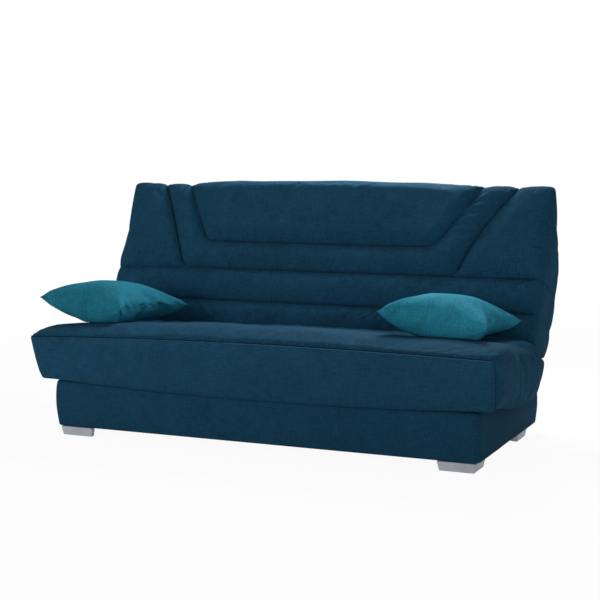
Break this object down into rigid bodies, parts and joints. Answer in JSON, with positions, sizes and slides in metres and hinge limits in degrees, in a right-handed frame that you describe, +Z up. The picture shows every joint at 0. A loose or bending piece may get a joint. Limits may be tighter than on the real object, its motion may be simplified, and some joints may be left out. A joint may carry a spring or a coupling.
{
  "type": "futon sofa bed",
  "caption": "Click-clack sofa bed: quilted back and seat halves on slatted frames fold flat over an upholstered storage chest, with throw pillows.",
  "frame": {"origin": "on the floor, at the centre of the whole sofa's bounding box in plan", "axes": "+X to the right as seen from the front, along the sofa's length; the seat faces -Y; +Z up"},
  "size_m": [1.956, 0.9616, 1.0078],
  "materials": {
    "mattress_fabric": "petrol blue woven cover",
    "chest_fabric": "petrol blue woven cover",
    "pillow_fabric": "teal woven cover",
    "foot_metal": "satin silver",
    "zinc_hardware": "zinc plated",
    "mechanism_steel": "satin black paint",
    "frame_paint": "satin black paint",
    "black_plastic": "matte",
    "beech_slats": "satin lacquered beech",
    "foam": "cut foam in a thin lining",
    "pillow_filling": "white filling in a lining",
    "felt": "felt",
    "buffer_rubber": "matte",
    "floor_board": "hardboard",
    "chest_board": "particle board"
  },
  "bodies": {
    "base": {"base_floor": "floor_board", "base_front_board": "chest_board", "base_rear_board": "chest_board", "base_left_board": "chest_board", "base_right_board": "chest_board", "base_corner_blocks": "chest_board", "base_cover_front": "chest_fabric", "base_cover_rear": "chest_fabric", "base_cover_left": "chest_fabric", "base_cover_right": "chest_fabric", "foot_front_left": "foot_metal", "foot_front_right": "foot_metal", "foot_rear_left": "foot_metal", "foot_rear_right": "foot_metal", "foot_studs": "zinc_hardware", "bracket_left": "mechanism_steel", "bracket_right": "mechanism_steel", "bracket_screws": "zinc_hardware", "link_base_pins": "zinc_hardware", "rim_buffers": "felt"},
    "front_links": {"front_link_left": "mechanism_steel", "front_link_right": "mechanism_steel"},
    "rear_links": {"rear_link_left": "mechanism_steel", "rear_link_right": "mechanism_steel"},
    "carriage": {"carriage_left": "mechanism_steel", "carriage_right": "mechanism_steel", "carriage_tube": "mechanism_steel", "link_top_pins": "zinc_hardware", "fold_bolts": "zinc_hardware", "carriage_buffers": "buffer_rubber", "fold_gusset": "mattress_fabric"},
    "seat": {"seat_side_rails": "frame_paint", "seat_cross_rails": "frame_paint", "seat_rail_caps": "black_plastic", "seat_slats": "beech_slats", "seat_slat_holders": "black_plastic", "seat_hinge_plates": "mechanism_steel", "seat_mattress": "foam", "seat_cover": "mattress_fabric", "seat_front_panel": "mattress_fabric"},
    "back": {"back_side_rails": "frame_paint", "back_cross_rails": "frame_paint", "back_rail_caps": "black_plastic", "back_slats": "beech_slats", "back_slat_holders": "black_plastic", "back_hinge_plates": "mechanism_steel", "back_ratchet_discs": "mechanism_steel", "back_mattress": "foam", "back_cover": "mattress_fabric"},
    "pillow_left": {"pillow_left_cover": "pillow_fabric", "pillow_left_filling": "pillow_filling"},
    "pillow_right": {"pillow_right_cover": "pillow_fabric", "pillow_right_filling": "pillow_filling"}
  },
  "joints": [
    {"name": "front_link_swing", "type": "hinge", "parent": "base", "child": "front_links", "pos_m": [0, -0.22977, 0.075], "axis": [1, 0, 0], "range_deg": [0, 79.41]},
    {"name": "rear_link_swing", "type": "hinge", "parent": "base", "child": "rear_links", "pos_m": [0, -0.02977, 0.075], "axis": [1, 0, 0], "range_deg": [0, 79.41]},
    {"name": "carriage_level", "type": "hinge", "parent": "front_links", "child": "carriage", "pos_m": [0, -0.11479, 0.21349], "axis": [-1, 0, 0], "range_deg": [0, 79.41]},
    {"name": "back_recline", "type": "hinge", "parent": "carriage", "child": "back", "pos_m": [0, 0.10823, 0.38], "axis": [-1, 0, 0], "range_deg": [0, 63.8], "deforming": ["fold_gusset"]},
    {"name": "seat_lift", "type": "hinge", "parent": "carriage", "child": "seat", "pos_m": [0, 0.10823, 0.38], "axis": [-1, 0, 0], "range_deg": [0, 25]},
    {"name": "pillow_left_lift", "type": "slide", "parent": "seat", "child": "pillow_left", "axis": [0, 0, 1], "range_m": [0, 0.3]},
    {"name": "pillow_right_lift", "type": "slide", "parent": "seat", "child": "pillow_right", "axis": [0, 0, 1], "range_m": [0, 0.3]}
  ],
  "couplings": [
    {"joint": "front_link_swing", "follows": "back_recline", "ratio": 1.2445},
    {"joint": "rear_link_swing", "follows": "back_recline", "ratio": 1.2445},
    {"joint": "carriage_level", "follows": "back_recline", "ratio": 1.2445}
  ]
}
